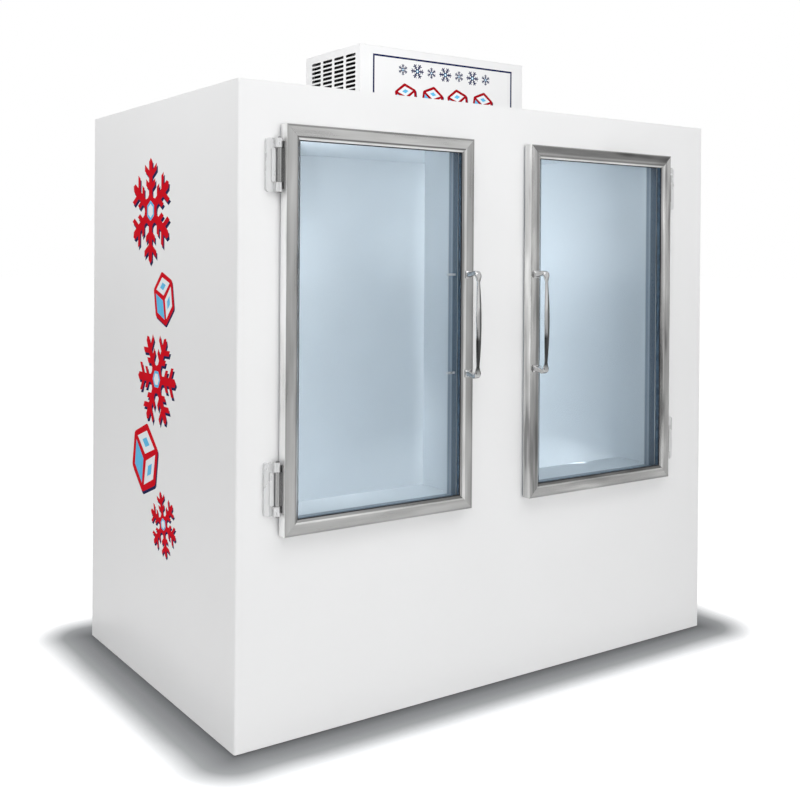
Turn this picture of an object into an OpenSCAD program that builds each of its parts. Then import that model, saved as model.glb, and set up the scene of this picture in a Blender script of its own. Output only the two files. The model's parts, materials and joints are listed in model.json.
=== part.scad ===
// Two-door ice merchandiser: a cold store for bagged ice with glass doors
// and a cooling unit on its roof. Millimetres, +Z up, the doors face -Y.
// The origin is on the ground under the centre of the cabinet.

/* [Cabinet] */
// Width across the front
cab_w = 1854; // [1800:1:1900]
// Depth from the front sheet to the back sheet
cab_d = 1122; // [1090:1:1200]
// Height of the cabinet without the cooling unit
cab_h = 1810; // [1800:1:1860]
// Thickness of the insulated walls
wall_t = 60; // [50:1:70]
// Thickness of the outer steel sheets
skin_t = 1.5; // [1:0.1:2]
// Height of the insulated floor above the ground
floor_z = 120; // [110:1:140]
// Thickness of the insulated roof
roof_t = 80; // [70:1:90]
// Radius of the folded corners at the front
fold_r = 6; // [3:1:12]
// How far the front sheet returns along each side
return_d = 15; // [12:1:25]
// Height of the skid rails
skid_h = 40; // [30:1:50]

/* [Doors] */
// Width of one door
door_w = 645; // [600:1:650]
// Height of one door
door_h = 1120; // [1000:1:1130]
// Height of the door's lower edge above the ground
door_z = 575; // [560:1:590]
// Left edge of the left door from the left side of the cabinet
left_door_x = 126; // [115:1:135]
// Left edge of the right door from the left side of the cabinet
right_door_x = 1002; // [990:1:1010]
// How far the face of a door stands out of the cabinet
door_proud = 39.5; // [38:0.5:42]
// Thickness of the magnetic gasket behind a door
gasket_t = 6; // [5:0.5:7]
// Width of the frame rails round the glass
rail_w = 42; // [40:1:50]
// How far a door laps over the edge of its opening
door_lap = 30; // [28:1:36]
// Opening angle of the doors, in degrees
door_swing = 105; // [90:1:105]

/* [Hinges and handles] */
// Height of one hinge
hinge_h = 146; // [130:1:150]
// Distance of the hinge line from the edge of the door
hinge_off = 12; // [11:0.5:13]
// Radius of the hinge knuckles
knuckle_r = 7; // [6:0.5:8]
// Radius of the hinge pins
pin_r = 3; // [2.5:0.1:3.5]
// Centre of the upper hinge below the door's upper edge
top_hinge_in = 112; // [90:1:140]
// Centre of the lower hinge above the door's lower edge
low_hinge_in = 130; // [90:1:140]
// Length of the handle
handle_l = 328; // [280:1:360]
// Clear height of the grip over the frame at its middle
grip_clear = 48; // [40:1:50]
// Bow of the grip between its ends
grip_bow = 5; // [3:1:9]

/* [Surround behind the doors] */
// Depth of the posts, the ledge and the header behind the front sheet
surround_d = 311; // [280:1:330]
// Width of the post between the doors
post_w = 95; // [80:1:100]
// Left face of the centre post from the cabinet's middle
post_x = -88; // [-95:1:-80]
// Height of the top of the ledge below the doors
ledge_z = 579; // [560:1:600]
// Height of the underside of the header over the doors
header_z = 1694; // [1690:1:1700]
// Thickness of the posts in the front corners
corner_t = 38; // [30:1:45]

/* [Cooling unit] */
// Width of the housing on the roof
unit_w = 776; // [760:1:780]
// Depth of the housing
unit_d = 393; // [390:1:400]
// Height of the housing
unit_h = 302; // [300:1:320]
// Left edge of the housing from the cabinet's middle
unit_x = -90; // [-100:1:-80]
// Gap between the back of the housing and the back of the cabinet
unit_back = 14; // [10:1:20]
// Louvre slots in one column
louvre_rows = 15; // [10:1:16]
// Louvre columns on each side
louvre_cols = 4; // [3:1:4]
// Height from one louvre slot to the next
louvre_pitch = 16.2; // [15:0.1:17]

/* [Hidden] */
$fn = 64;
arc_fn = 1440;                        // for arcs of very large circles

gap = 0.2;          // between neighbouring pieces of the cabinet
cut = 1;            // how far a cutter runs past the face it cuts

// Faces of the cabinet
side_x = cab_w / 2;
front_y = -cab_d / 2;
back_y = cab_d / 2;
panel_z = 4;                          // lower edge of the outer sheets
pan_t = 3;
liner_t = 1.5;
in_x = side_x - wall_t;               // inner faces of the liner
in_front = front_y + wall_t;
in_back = back_y - wall_t;
ceil_z = cab_h - roof_t;

// Doors: each is drawn from its lower left corner, with its back on y = 0
frame_t = door_proud - gasket_t;
door_back = front_y - gasket_t;
left_x = -side_x + left_door_x;
right_x = -side_x + right_door_x;
door_top = door_z + door_h;
hinge_out = 20;                       // hinge line in front of the front sheet
hinge_y = front_y - hinge_out;
left_hinge_x = left_x - hinge_off;
right_hinge_x = right_x + door_w + hinge_off;
low_hinge_z = door_z + low_hinge_in;
top_hinge_z = door_top - top_hinge_in;
hinge_zs = [low_hinge_z, top_hinge_z];
barrel = hinge_h * 0.63;              // length of a door's knuckle
run_clear = 0.05;                     // between a pin or shaft and its hole

// Openings behind the doors
open_z = door_z + door_lap;
open_h = door_h - 2 * door_lap;
open_w = door_w - 2 * door_lap;
open_xs = [left_x + door_lap, right_x + door_lap];

// Surround
surround_y = front_y + surround_d;

// Glass unit inside a door frame
pane_t = 5;
pane_gap = 12;
lip_t = 7;                            // lip of the frame in front of the glass
back_lip = 3;
strip_t = frame_t - lip_t - back_lip - 2 * pane_t - pane_gap;
glass_in = 31;                        // edge of the glass from the edge of the door

// Handle
handle_x = door_w - rail_w / 2;
grip_t = 8;
grip_w = 16;                          // width of the grip at its middle
neck_w = 9;                           // width where its ends begin to spread
tail_w = 22;                          // width of its ends
neck_z = handle_l / 2 - 34;
handle_foot = handle_l / 2 - 15;      // centre of a foot from the handle's middle

// Cooling unit on the roof
unit_y = back_y - unit_back - unit_d;
unit_z = cab_h;
unit_top = unit_z + unit_h;
unit_right = unit_x + unit_w;
sheet_t = 1.2;
base_t = 3;
slot_w = 68;
slot_h = 10.5;
slot_step = 83;
slot_y = unit_y + 31;
slot_top = unit_top - 29;
fan_x = unit_x + 110;
fan_y = unit_y + unit_d / 2;
fan_z = unit_z + 150;
fan_r = 110;
comp_x = unit_x + 520;
comp_y = unit_y + 230;
comp_r = 78;
comp_feet = 14;
comp_z = unit_z + base_t + comp_feet;

// Evaporator under the ceiling
evap_x = -in_x + 20;
evap_w = 490;
evap_y = in_back - liner_t - 350;
evap_d = 345;
evap_h = 200;
evap_z = ceil_z - liner_t - gap - evap_h;
evap_fan_r = 88;
shaft_r = 4;
evap_fan_xs = [evap_x + evap_w * 0.27, evap_x + evap_w * 0.73];
evap_fan_z = evap_z + 98;
line_x = evap_x + evap_w - 40;
line_y = unit_y + 240;
line_gap = 60;
suction_r = 8;
liquid_r = 5;
line_clear = 0.5;
riser_x = unit_x + 320;
suction_z = unit_z + 60;
liquid_z = unit_z + 20;
hot_y = unit_y + 46;
hot_z = unit_z + 115;
drain_x = 200;
drain_y = 300;

// Controls beside the housing
box_x = unit_right + 4;
box_w = 100;
box_y = unit_y + 60;
box_d = 200;
box_h = 110;
box_z = cab_h;
knob_x = box_x + 30;
knob_shaft_r = 3;
knob_z = box_z + 60;
switch_x = box_x + 72;
switch_z = knob_z;
inlet_y = box_y + 150;
inlet_z = box_z + 40;

// ---------------------------------------------------------------- helpers

// A box from one corner to the other
module span(a, b) {
    translate(a) cube([b[0] - a[0], b[1] - a[1], b[2] - a[2]]);
}

// A cylinder along X, Y or Z
module rod_x(r, l) { rotate([0, 90, 0]) cylinder(r = r, h = l); }
module rod_y(r, l) { rotate([-90, 0, 0]) cylinder(r = r, h = l); }

// A copy of the children on the other side of the cabinet's middle as well
module both_sides() {
    children();
    mirror([1, 0, 0]) children();
}

// The two openings as through cutters from y0 to y1, taken in by s all round
module openings(y0, y1, s = 0) {
    for (x = open_xs)
        span([x + s, y0, open_z + s], [x + open_w - s, y1, open_z + open_h - s]);
}

// ---------------------------------------------------------------- outer sheets

// Section of the front sheet: a tray with rounded corners, seen from above
module front_section() {
    difference() {
        union() {
            translate([-side_x + fold_r, front_y]) square([cab_w - 2 * fold_r, return_d]);
            translate([-side_x, front_y + fold_r]) square([cab_w, return_d - fold_r]);
            for (s = [-1, 1]) translate([s * (side_x - fold_r), front_y + fold_r]) circle(fold_r);
        }
        translate([-side_x + fold_r, front_y + skin_t]) square([cab_w - 2 * fold_r, return_d]);
        translate([-side_x + skin_t, front_y + fold_r]) square([cab_w - 2 * skin_t, return_d]);
        for (s = [-1, 1])
            translate([s * (side_x - fold_r), front_y + fold_r]) circle(fold_r - skin_t);
    }
}

module front_panel() {
    color("whitesmoke")
    difference() {
        translate([0, 0, panel_z]) linear_extrude(cab_h - panel_z) front_section();
        openings(front_y - cut, front_y + skin_t + cut);
    }
}

module side_panel() {
    span([-side_x, front_y + return_d + gap, panel_z], [-side_x + skin_t, back_y, cab_h]);
}
module left_side_panel() { color("whitesmoke") side_panel(); }
module right_side_panel() { color("whitesmoke") mirror([1, 0, 0]) side_panel(); }

module back_panel() {
    color("gainsboro")
    span([-side_x + skin_t + gap, back_y - skin_t, panel_z],
         [side_x - skin_t - gap, back_y, cab_h]);
}

// A flat sheet that fits inside the four walls and their folded front corners
module inset_sheet(z0, z1) {
    x1 = side_x - skin_t - gap;
    y1 = back_y - skin_t - gap;
    span([-x1, front_y + fold_r, z0], [x1, y1, z1]);
    span([-x1 + fold_r, front_y + skin_t + gap, z0], [x1 - fold_r, y1, z1]);
}

module top_panel() {
    color("whitesmoke")
    difference() {
        inset_sheet(cab_h - skin_t, cab_h);
        line_holes(cab_h - skin_t - cut, skin_t + 2 * cut);
    }
}

module base_pan() {
    color("silver")
    difference() {
        inset_sheet(skid_h, skid_h + pan_t);
        drain_hole();
    }
}

// Three hollow rails under the pan
module skid_rails() {
    half_w = 35;
    rail_wall = 4;
    y0 = front_y + 40;
    y1 = back_y - 20;
    color("dimgray")
    for (x = [-side_x + 90, 0, side_x - 90])
        difference() {
            span([x - half_w, y0, 0], [x + half_w, y1, skid_h]);
            span([x - half_w + rail_wall, y0 - cut, rail_wall],
                 [x + half_w - rail_wall, y1 + cut, skid_h - rail_wall]);
        }
}

// ---------------------------------------------------------------- insulation

foam_z0 = skid_h + pan_t;
foam_x = side_x - skin_t - gap;

// Five boards round the two openings
module foam_front() {
    y0 = front_y + skin_t + gap;
    y1 = in_front - gap;
    x1 = foam_x - fold_r;
    stile_l = open_xs[0];
    mid_l = open_xs[0] + open_w;
    mid_r = open_xs[1];
    stile_r = open_xs[1] + open_w;
    z0 = open_z;
    z1 = open_z + open_h;
    color("lemonchiffon") {
        span([-x1, y0, foam_z0], [x1, y1, z0]);
        span([-x1, y0, z0 + gap], [stile_l, y1, z1 - gap]);
        span([mid_l, y0, z0 + gap], [mid_r, y1, z1 - gap]);
        span([stile_r, y0, z0 + gap], [x1, y1, z1 - gap]);
        span([-x1, y0, z1], [x1, y1, cab_h - skin_t - gap]);
    }
}

module foam_sides() {
    color("lemonchiffon")
    both_sides()
        span([-foam_x, in_front, foam_z0], [-in_x - gap, in_back, cab_h - skin_t - gap]);
}

module foam_back() {
    color("lemonchiffon")
    span([-foam_x, in_back + gap, foam_z0], [foam_x, back_y - skin_t - gap, cab_h - skin_t - gap]);
}

module foam_roof() {
    trench_m = 24;                      // from the middle of a line to the trench's side
    color("lemonchiffon")
    difference() {
        span([-in_x, in_front, ceil_z + gap], [in_x, in_back, cab_h - skin_t - gap]);
        // trench for the two refrigerant lines and their way down
        span([line_x - trench_m, line_y - trench_m, ceil_z + 24],
             [riser_x + trench_m, line_y + line_gap + trench_m, cab_h]);
        line_holes(ceil_z - cut, 40, line_x);
    }
}

module foam_floor() {
    color("lemonchiffon")
    difference() {
        span([-in_x, in_front, foam_z0 + gap], [in_x, in_back, floor_z - liner_t - gap]);
        drain_hole();
    }
}

// ---------------------------------------------------------------- lining and surround

module inner_liner() {
    color("aliceblue") {
        both_sides()
            span([-in_x, in_front + liner_t + gap, floor_z],
                 [-in_x + liner_t, in_back - liner_t - gap, ceil_z - liner_t - gap]);
        span([-in_x, in_back - liner_t, floor_z], [in_x, in_back, ceil_z - liner_t - gap]);
        difference() {
            span([-in_x, in_front, floor_z], [in_x, in_front + liner_t, ceil_z - liner_t - gap]);
            openings(in_front - cut, in_front + liner_t + cut);
        }
        difference() {
            span([-in_x, in_front, ceil_z - liner_t], [in_x, in_back, ceil_z]);
            line_holes(ceil_z - liner_t - cut, liner_t + 2 * cut, line_x);
        }
        difference() {
            span([-in_x, in_front, floor_z - liner_t], [in_x, in_back, floor_z - gap]);
            drain_hole();
        }
    }
}

// A plastic frame lines each opening through the front wall
module jamb_trims() {
    trim_t = 3;
    y0 = front_y + 0.5;
    y1 = in_front + liner_t;
    color("slategray")
    difference() {
        openings(y0, y1, gap);
        openings(y0 - cut, y1 + cut, trim_t);
    }
}

module centre_post() {
    y0 = in_front + liner_t + gap;
    color("lightsteelblue")
    span([post_x, y0, floor_z], [post_x + post_w, surround_y, ceil_z - liner_t - gap]);
}

// The ledge runs across the store on both sides of the centre post
module sill_ledge() {
    ledge_t = 30;
    y0 = in_front + liner_t + gap;
    x1 = in_x - liner_t - gap;
    color("lightsteelblue") {
        span([-x1, y0, ledge_z - ledge_t], [post_x - gap, surround_y, ledge_z]);
        span([post_x + post_w + gap, y0, ledge_z - ledge_t], [x1, surround_y, ledge_z]);
    }
}

module header_duct() {
    y0 = in_front + liner_t + gap;
    x1 = in_x - liner_t - gap;
    z1 = ceil_z - liner_t - gap;
    color("lightsteelblue") {
        span([-x1, y0, header_z], [post_x - gap, surround_y, z1]);
        span([post_x + post_w + gap, y0, header_z], [x1, surround_y, z1]);
    }
}

module corner_posts() {
    y0 = in_front + liner_t + gap;
    x1 = in_x - liner_t - gap;
    color("lightsteelblue")
    both_sides()
        span([-x1, y0, ledge_z + gap], [-x1 + corner_t, surround_y, header_z - gap]);
}

// Two slatted racks keep the bags off the floor
module floor_racks() {
    rack_h = 34;
    slat_t = 14;
    slat_w = 70;
    slats = 8;
    edge = 12;
    runner = 20;                        // half the width of a runner under the slats
    z0 = floor_z + gap;
    y0 = in_front + 30;
    y1 = in_back - 30;
    step = (y1 - y0 - slat_w) / (slats - 1);
    color("lightgray")
    for (side = [0, 1]) {
        x0 = side == 0 ? -in_x + edge : post_x + post_w + edge;
        x1 = side == 0 ? post_x - edge : in_x - edge;
        for (x = [x0 + 2 * runner, (x0 + x1) / 2, x1 - 2 * runner])
            span([x - runner, y0, z0], [x + runner, y1, z0 + rack_h - slat_t + 1]);
        for (i = [0 : slats - 1])
            span([x0, y0 + i * step, z0 + rack_h - slat_t],
                 [x1, y0 + i * step + slat_w, z0 + rack_h]);
    }
}

drain_r = 16;
module drain_hole() {
    translate([drain_x, drain_y, skid_h - cut]) cylinder(r = drain_r + 0.3, h = floor_z);
}

// Waste pipe from the lining to below the pan, with a flange on the floor and a hose tail
module floor_drain() {
    flange_t = 2;
    tail_z = 10;
    body_z = skid_h - 2;
    color("white")
    translate([drain_x, drain_y, 0])
    difference() {
        union() {
            translate([0, 0, tail_z]) cylinder(r = drain_r - 2, h = floor_z - tail_z);
            translate([0, 0, body_z]) cylinder(r = drain_r, h = floor_z - body_z + 1);
            translate([0, 0, floor_z]) cylinder(r = drain_r + 14, h = flange_t);
        }
        translate([0, 0, tail_z - cut]) cylinder(r = drain_r - 5, h = floor_z);
    }
}

// A light over each door, behind the upper edge of the opening
module light_bars() {
    bar_h = 22;
    bar_d = 26;
    bevel = 16;
    y0 = in_front + liner_t + 4;
    z1 = header_z - gap;
    color("white")
    for (x = open_xs)
        translate([x + 20, y0, z1 - bar_h])
        difference() {
            cube([open_w - 40, bar_d, bar_h]);
            translate([-cut, bar_d, -cut]) rotate([45, 0, 0])
                translate([0, -bevel / 2, -bevel / 2]) cube([open_w, bevel, bevel]);
        }
}

// ---------------------------------------------------------------- doors

// Section of a frame rail: u runs from the outer edge to the glass, v to the front
module rail_section() {
    edge = 2;
    bevel = 8;
    seat = glass_in - 1;
    tube = 2.5;
    difference() {
        polygon([
            [0, 0], [0, frame_t - edge], [edge, frame_t], [rail_w - bevel, frame_t],
            [rail_w, frame_t - lip_t + 1.5], [rail_w, frame_t - lip_t],
            [seat, frame_t - lip_t], [seat, back_lip], [rail_w - 4, back_lip], [rail_w - 4, 0]
        ]);
        translate([tube, tube]) square([seat - 2 * tube, frame_t - 2 * tube]);
    }
}

// One rail along X with mitred ends, its outer edge on z = 0 and its front towards -Y
module rail(l) {
    joint_gap = 0.15;
    intersection() {
        rotate(a = 180, v = [1, 0, 1]) linear_extrude(l) rail_section();
        rotate([90, 0, 0]) linear_extrude(frame_t)
            polygon([
                [joint_gap, 0], [l - joint_gap, 0],
                [l - rail_w - joint_gap, rail_w], [rail_w + joint_gap, rail_w]
            ]);
    }
}

module door_frame() {
    rail(door_w);
    translate([0, 0, door_h]) mirror([0, 0, 1]) rail(door_w);
    mirror([1, 0, -1]) rail(door_h);
    translate([door_w, 0, 0]) mirror([1, 0, 0]) mirror([1, 0, -1]) rail(door_h);
}

// A flat ring round the door from one inset to another, between two depths
module door_ring(in0, in1, v0, v1) {
    difference() {
        span([in0, -v1, in0], [door_w - in0, -v0, door_h - in0]);
        span([in1, -v1 - cut, in1], [door_w - in1, -v0 + cut, door_h - in1]);
    }
}

module outer_pane() {
    v0 = back_lip + pane_t + pane_gap;
    span([glass_in, -v0 - pane_t, glass_in], [door_w - glass_in, -v0, door_h - glass_in]);
}

module inner_pane() {
    span([glass_in, -back_lip - pane_t, glass_in], [door_w - glass_in, -back_lip, door_h - glass_in]);
}

module pane_spacer() {
    v0 = back_lip + pane_t;
    door_ring(glass_in, rail_w - 2, v0, v0 + pane_gap);
}

// Black strip between the glass and the lip of the frame
module glazing_strip() {
    door_ring(glass_in, rail_w + 3, frame_t - lip_t - strip_t, frame_t - lip_t);
}

module door_gasket() {
    door_ring(4, 21, -gasket_t + 0.3, 0);
}

// Radius of a circle's arc that rises by that much over half a chord
function arc_r(half_chord, rise) = (half_chord ^ 2 + rise ^ 2) / (2 * rise);

// Upper foot on the frame, with the arm out to the end of the grip
module handle_arm() {
    foot = [26, 4, 24];
    end_z = handle_l / 2;
    reach = grip_clear - grip_bow + 2;
    rotate([90, 0, 90]) linear_extrude(tail_w - 2, center = true)
        polygon([[0, end_z - 24], [0, end_z - 4], [-reach, end_z - 1], [-reach, end_z - 16]]);
    translate([0, -foot[1] / 2, handle_foot]) cube(foot, center = true);
}

// Side view of the grip: a bowed strip
module grip_side() {
    r = arc_r(handle_l / 2, grip_bow);
    intersection() {
        translate([-grip_clear - grip_t + r, 0]) difference() {
            circle(r, $fn = arc_fn);
            circle(r - grip_t, $fn = arc_fn);
        }
        translate([-grip_clear - grip_t - 1, -handle_l / 2]) square([grip_t + grip_bow + 1, handle_l]);
    }
}

// Front view of the grip: fullest at its middle, with ends that spread like a fish's tail
module grip_front() {
    r = arc_r(neck_z, (grip_w - neck_w) / 2);
    intersection() {
        translate([r - grip_w / 2, 0]) circle(r, $fn = arc_fn);
        translate([grip_w / 2 - r, 0]) circle(r, $fn = arc_fn);
        square([grip_w, 2 * neck_z], center = true);
    }
    for (s = [-1, 1])
        polygon([
            [-neck_w / 2, s * (neck_z - 1)], [neck_w / 2, s * (neck_z - 1)],
            [tail_w / 2, s * handle_l / 2], [-tail_w / 2, s * handle_l / 2]
        ]);
}

module handle_grip() {
    intersection() {
        rotate([90, 0, 90]) linear_extrude(tail_w + 2, center = true) grip_side();
        rotate([90, 0, 0]) linear_extrude(grip_clear + grip_t + 1) grip_front();
    }
}

// Pull handle on the front of the frame, with two clamp straps behind the glass edge
module handle() {
    strap = [34, 3, 7];
    strap_x = handle_x - 22 - strap[0] / 2;
    translate([handle_x, -frame_t, door_h / 2]) {
        handle_grip();
        handle_arm();
        mirror([0, 0, 1]) handle_arm();
    }
    for (s = [-1, 1])
        translate([strap_x, gap, door_h / 2 + s * handle_foot - strap[2] / 2]) cube(strap);
}

// Leaf on the edge of the door with the middle knuckle, for a hinge line at x = -hinge_off
module hinge_leaf() {
    leaf_t = 2.8;
    leaf_h = hinge_h - 16;
    y_pin = hinge_y - door_back;
    difference() {
        union() {
            span([-leaf_t - gap, -frame_t + 6, -leaf_h / 2], [-gap, -2, leaf_h / 2]);
            span([-hinge_off, y_pin - 4, -barrel / 2], [-gap, y_pin + 4, barrel / 2]);
            translate([-hinge_off, y_pin, -barrel / 2]) cylinder(r = knuckle_r, h = barrel);
        }
        translate([-hinge_off, y_pin, -barrel]) cylinder(r = pin_r + run_clear, h = 2 * barrel);
    }
}

// Both leaves of one door
module hinge_leaves() {
    for (z = hinge_zs) translate([0, 0, z - door_z]) hinge_leaf();
}

// Cabinet half of a hinge, centred on its hinge line on the front sheet
module hinge_flange() {
    side_gap = 1;
    body_w = 27;
    body_t = 11;
    body_x = -knuckle_r - 1 - body_w;
    round_r = 9;
    cover_in = 14;
    cover_r = 4;
    end_h = (hinge_h - barrel) / 2 - side_gap;
    y_pin = hinge_y - front_y;
    difference() {
        union() {
            // body against the sheet, rounded at its outer corners
            rotate([90, 0, 0]) linear_extrude(body_t) {
                translate([body_x + round_r, -hinge_h / 2]) square([body_w - round_r, hinge_h]);
                translate([body_x, -hinge_h / 2 + round_r]) square([body_w, hinge_h - 2 * round_r]);
                for (s = [-1, 1])
                    translate([body_x + round_r, s * (hinge_h / 2 - round_r)]) circle(round_r);
            }
            // raised cover over the screws, as long as the door's knuckle
            translate([body_x + cover_in, 0, 0]) rotate([90, 0, 0]) linear_extrude(body_t + 4) {
                translate([cover_r, -barrel / 2]) square([body_w - cover_in - cover_r, barrel]);
                translate([0, cover_r - barrel / 2]) square([body_w - cover_in, barrel - 2 * cover_r]);
                for (s = [-1, 1]) translate([cover_r, s * (barrel / 2 - cover_r)]) circle(cover_r);
            }
            // end knuckles with their webs
            for (s = [-1, 1]) {
                z0 = s < 0 ? -hinge_h / 2 : hinge_h / 2 - end_h;
                translate([0, y_pin, z0]) cylinder(r = knuckle_r, h = end_h);
                span([body_x + body_w - 4, y_pin - 4, z0], [0, y_pin + 4, z0 + end_h]);
                span([body_x + body_w - 4, y_pin - 4, z0], [body_x + body_w, -body_t / 2, z0 + end_h]);
            }
        }
        translate([0, y_pin, -hinge_h]) cylinder(r = pin_r, h = 2 * hinge_h);
    }
}

// One pin for each hinge, with a head above and below
module hinge_pin() {
    head_t = 2.5;
    translate([0, 0, -hinge_h / 2]) cylinder(r = pin_r, h = hinge_h);
    for (z = [-hinge_h / 2 - head_t, hinge_h / 2])
        translate([0, 0, z]) cylinder(r = knuckle_r - 1.5, h = head_t);
}

// Children at the four hinges, mirrored at the right door
module at_hinges() {
    for (z = hinge_zs) {
        translate([left_hinge_x, 0, z]) children();
        translate([right_hinge_x, 0, z]) mirror([1, 0, 0]) children();
    }
}

module hinge_flanges() { color("silver") translate([0, front_y, 0]) at_hinges() hinge_flange(); }
module hinge_pins() { color("silver") translate([0, hinge_y, 0]) at_hinges() hinge_pin(); }

// The left door opens at its right edge; the right door is its mirror image
module at_left() { translate([left_x, door_back, door_z]) children(); }
module at_right() { translate([right_x + door_w, door_back, door_z]) mirror([1, 0, 0]) children(); }

module left_door_frame() { color("silver") at_left() door_frame(); }
module left_outer_pane() { color("lightblue") at_left() outer_pane(); }
module left_inner_pane() { color("lightblue") at_left() inner_pane(); }
module left_pane_spacer() { color("dimgray") at_left() pane_spacer(); }
module left_glazing_strip() { color("black") at_left() glazing_strip(); }
module left_door_gasket() { color("gray") at_left() door_gasket(); }
module left_handle() { color("gainsboro") at_left() handle(); }
module left_hinge_leaves() { color("silver") at_left() hinge_leaves(); }

module right_door_frame() { color("silver") at_right() door_frame(); }
module right_outer_pane() { color("lightblue") at_right() outer_pane(); }
module right_inner_pane() { color("lightblue") at_right() inner_pane(); }
module right_pane_spacer() { color("dimgray") at_right() pane_spacer(); }
module right_glazing_strip() { color("black") at_right() glazing_strip(); }
module right_door_gasket() { color("gray") at_right() door_gasket(); }
module right_handle() { color("gainsboro") at_right() handle(); }
module right_hinge_leaves() { color("silver") at_right() hinge_leaves(); }

// ---------------------------------------------------------------- evaporator

evap_wall = 1.5;

// Sheet housing hung from the ceiling: open below at the back, two fan holes in front
module evaporator_housing() {
    z1 = evap_z + evap_h;
    color("silver")
    difference() {
        span([evap_x, evap_y, evap_z], [evap_x + evap_w, evap_y + evap_d, z1]);
        span([evap_x + evap_wall, evap_y + evap_wall, evap_z + evap_wall],
             [evap_x + evap_w - evap_wall, evap_y + evap_d - evap_wall, z1 - evap_wall]);
        for (x = evap_fan_xs)
            translate([x, evap_y - cut, evap_fan_z]) rod_y(evap_fan_r + 4, evap_wall + 2 * cut);
        // return air comes in through the back
        span([evap_x + 30, evap_y + evap_d - 5, evap_z + 30],
             [evap_x + evap_w - 30, evap_y + evap_d + cut, z1 - 30]);
        line_holes(z1 - 2 * evap_wall, 4 * evap_wall, line_x);
    }
}

// Fin pack with its tubes along X
module evaporator_coil() {
    fins = 36;
    fin_t = 1.4;
    coil_y = evap_y + evap_d - 110;
    coil_d = 88;
    coil_h = evap_h - 30;
    coil_w = evap_w - 110;
    x0 = evap_x + 30;
    z0 = evap_z + 12;
    step = (coil_w - fin_t) / (fins - 1);
    color("silver") {
        for (i = [0 : fins - 1])
            translate([x0 + i * step, coil_y, z0]) cube([fin_t, coil_d, coil_h]);
        for (y = [22, 66], z = [28 : 38 : coil_h - 20])
            translate([x0 - 8, coil_y + y, z0 + z]) rod_x(6, coil_w + 16);
    }
}

// Motors behind the two fans, each on a bar across the housing
module evaporator_motors() {
    motor_r = 32;
    color("dimgray")
    for (x = evap_fan_xs)
        difference() {
            union() {
                translate([x, evap_y + 70, evap_fan_z]) rod_y(motor_r, 60);
                span([x - 10, evap_y + 96, evap_z + evap_wall + gap],
                     [x + 10, evap_y + 104, evap_z + evap_h - evap_wall - gap]);
            }
            translate([x, evap_y + 60, evap_fan_z]) rod_y(shaft_r + run_clear, 50);
        }
}

// Guards over the fan holes: flat rings held by six spokes
module evaporator_guards() {
    wire = 2.4;
    spoke_w = 1.6;
    guard_r = evap_fan_r + 8;
    rings = 6;
    step = (guard_r - 12) / (rings - 1);
    color("gainsboro")
    for (x = evap_fan_xs)
        translate([x, evap_y - gap, evap_fan_z]) rotate([90, 0, 0]) {
            rotate_extrude()
                for (i = [0 : rings - 1]) translate([12 + i * step - wire, 0]) square(wire);
            for (a = [0 : 60 : 359])
                rotate([0, 0, a]) translate([11, -spoke_w / 2, wire / 4])
                    cube([guard_r - 12, spoke_w, wire]);
        }
}

// Fan with pitched flat blades on a hub, its shaft along +Z
module fan(r, blades, pitch, shaft_l) {
    hub_r = r * 0.26;
    hub_h = r * 0.3;
    cylinder(r = hub_r, h = hub_h, center = true);
    cylinder(r = shaft_r, h = shaft_l);
    for (i = [0 : blades - 1])
        rotate([0, 0, i * 360 / blades])
            intersection() {
                rotate([pitch, 0, 0]) translate([hub_r * 0.7, -r * 0.3, -0.8])
                    cube([r, r * 0.6, 1.6]);
                cylinder(r = r, h = r, center = true);
            }
}

module evaporator_fan(x) {
    color("black")
    translate([x, evap_y + 36, evap_fan_z]) rotate([-90, 0, 0]) fan(evap_fan_r - 4, 5, 28, 62);
}
module evaporator_fan_left() { evaporator_fan(evap_fan_xs[0]); }
module evaporator_fan_right() { evaporator_fan(evap_fan_xs[1]); }

// ---------------------------------------------------------------- cooling unit

module unit_base() {
    color("silver")
    difference() {
        span([unit_x, unit_y, unit_z + gap], [unit_right, unit_y + unit_d, unit_z + base_t]);
        line_holes(unit_z - cut, base_t + 2 * cut);
    }
}

// Top and back of the housing folded from one sheet, with lips for the side panels
module housing_cover() {
    z0 = unit_z + base_t + gap;
    y1 = unit_y + unit_d;
    lip = 16;
    color("whitesmoke") {
        span([unit_x, unit_y, unit_top - sheet_t], [unit_right, y1, unit_top]);
        span([unit_x, y1 - sheet_t, z0], [unit_right, y1, unit_top]);
        for (x = [unit_x + sheet_t + gap, unit_right - sheet_t - gap - lip])
            span([x, y1 - 2 * sheet_t, z0], [x + lip, y1 - sheet_t, unit_top]);
    }
}

// Cutter for one slot with round ends, from its lower front corner along +Y
module louvre_slot() {
    r = slot_h / 2;
    rotate([90, 0, 90]) linear_extrude(sheet_t + 2 * cut) {
        translate([r, 0]) square([slot_w - slot_h, slot_h]);
        for (y = [r, slot_w - r]) translate([y, r]) circle(r);
    }
}

// Side of the housing with columns of slots
module louvre_panel() {
    z0 = unit_z + base_t + gap;
    z1 = unit_top - sheet_t - gap;
    difference() {
        span([unit_x, unit_y + 3 + gap, z0], [unit_x + sheet_t, unit_y + unit_d - sheet_t - gap, z1]);
        for (c = [0 : louvre_cols - 1], r = [0 : louvre_rows - 1])
            translate([unit_x - cut, slot_y + c * slot_step, slot_top - slot_h - r * louvre_pitch])
                louvre_slot();
    }
}

module louvre_panels() {
    middle = unit_x + unit_w / 2;
    color("whitesmoke") {
        louvre_panel();
        translate([2 * middle, 0, 0]) mirror([1, 0, 0]) louvre_panel();
    }
}

// Flat sign face on the front of the housing
module sign_panel() {
    color("white")
    span([unit_x, unit_y, unit_z + base_t + gap], [unit_right, unit_y + 3, unit_top - sheet_t - gap]);
}

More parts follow.
